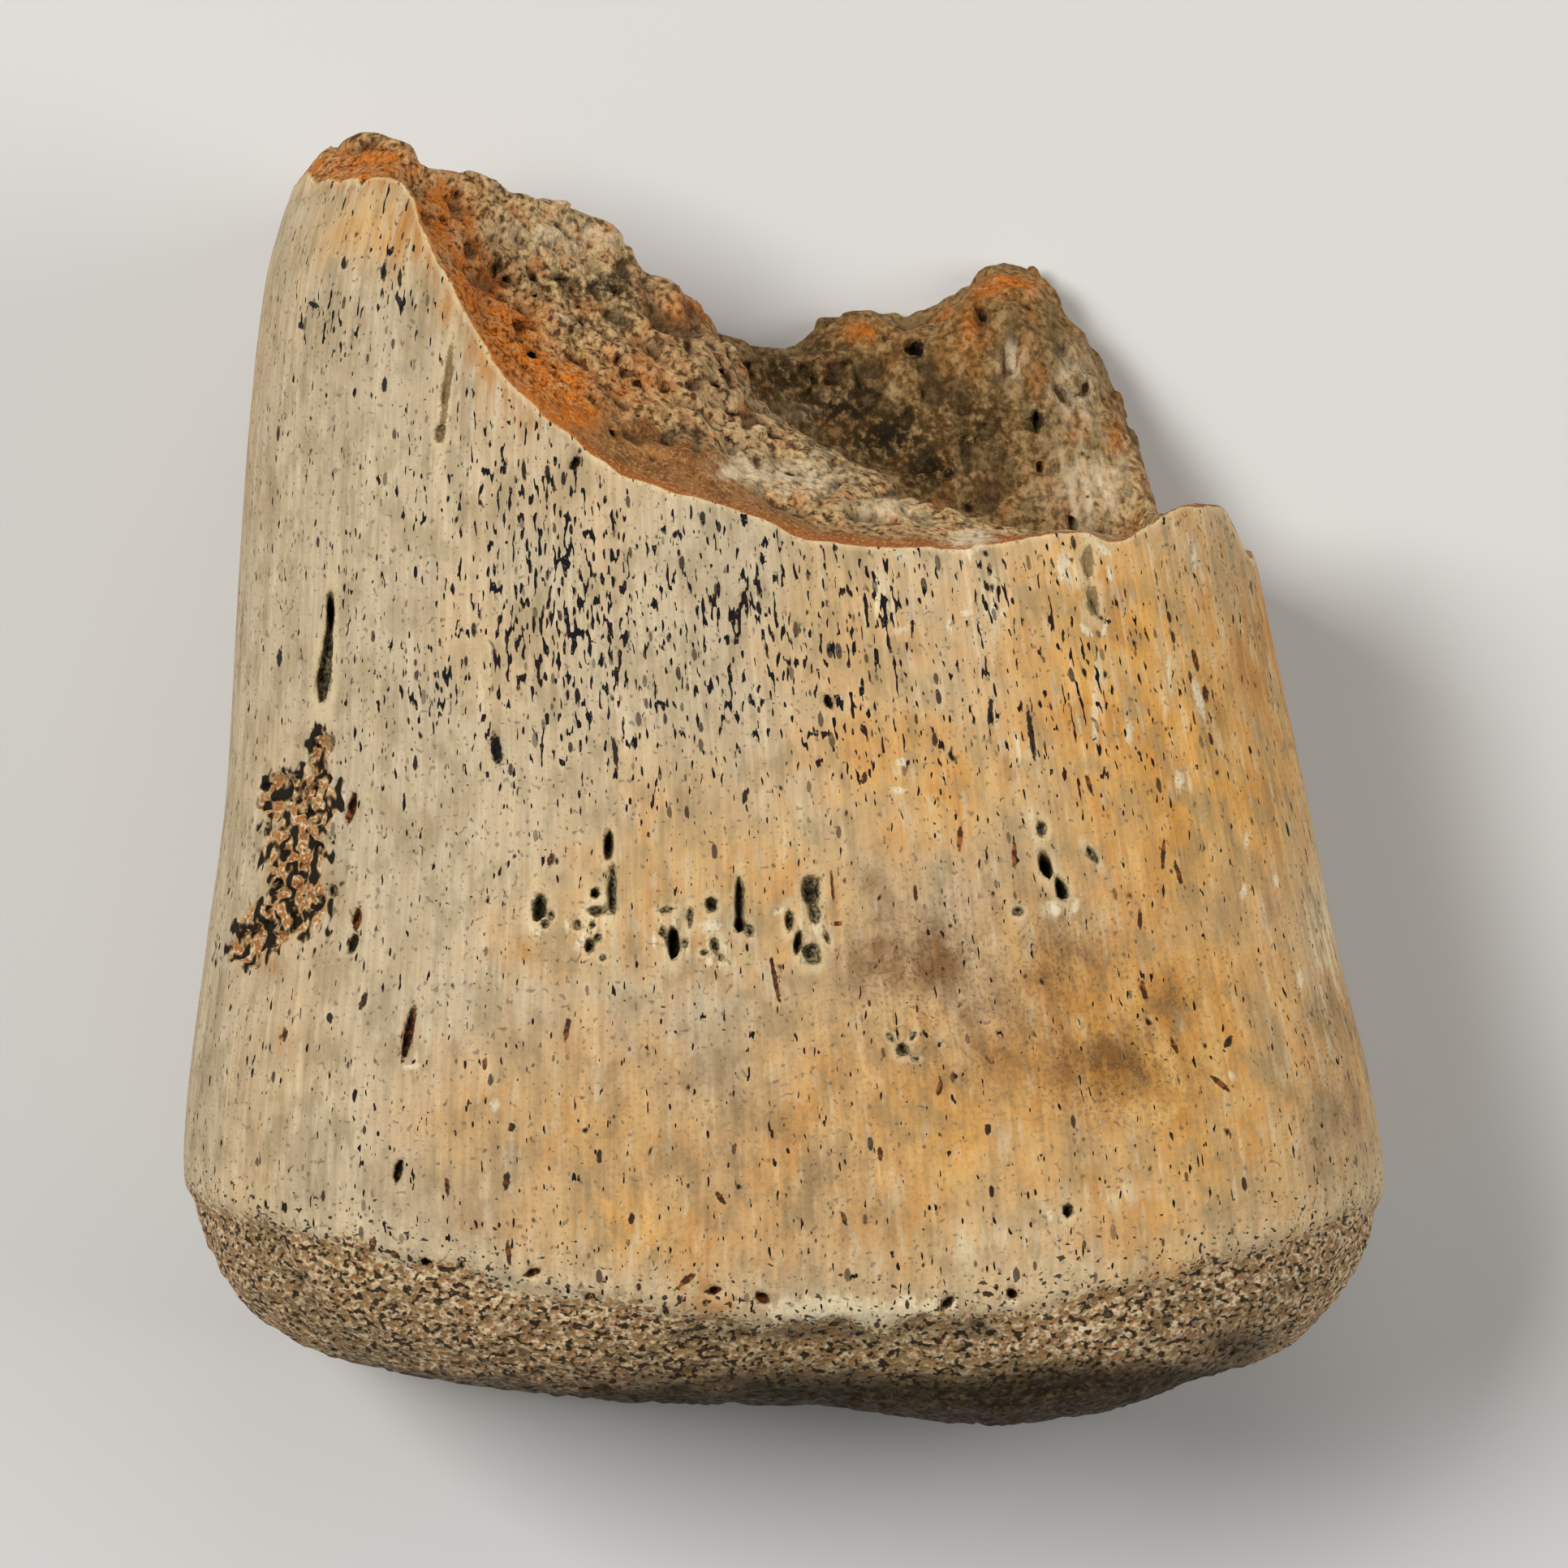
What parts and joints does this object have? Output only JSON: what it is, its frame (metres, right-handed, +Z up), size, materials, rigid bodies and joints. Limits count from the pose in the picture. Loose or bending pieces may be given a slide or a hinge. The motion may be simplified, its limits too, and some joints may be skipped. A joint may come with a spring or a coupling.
{
  "type": "fossil finger bone",
  "caption": "Joint end of a duck-billed dinosaur's fossil finger bone, lying on its palmar side: flattened and widening to the joint, with a slanting break that opens a marrow hollow.",
  "frame": {"origin": "under the middle of the fossil's box, on the surface that it rests on", "axes": "+X across the bone, +Y along it from the joint surface towards the break, +Z up from the palmar side to the dorsal face"},
  "size_m": [0.0361, 0.0391, 0.021],
  "materials": {
    "fossil_bone": "matt mineralised bone, tan to ochre, with dark pores"
  },
  "bodies": {
    "root": {"finger_bone": "fossil_bone"}
  },
  "joints": []
}
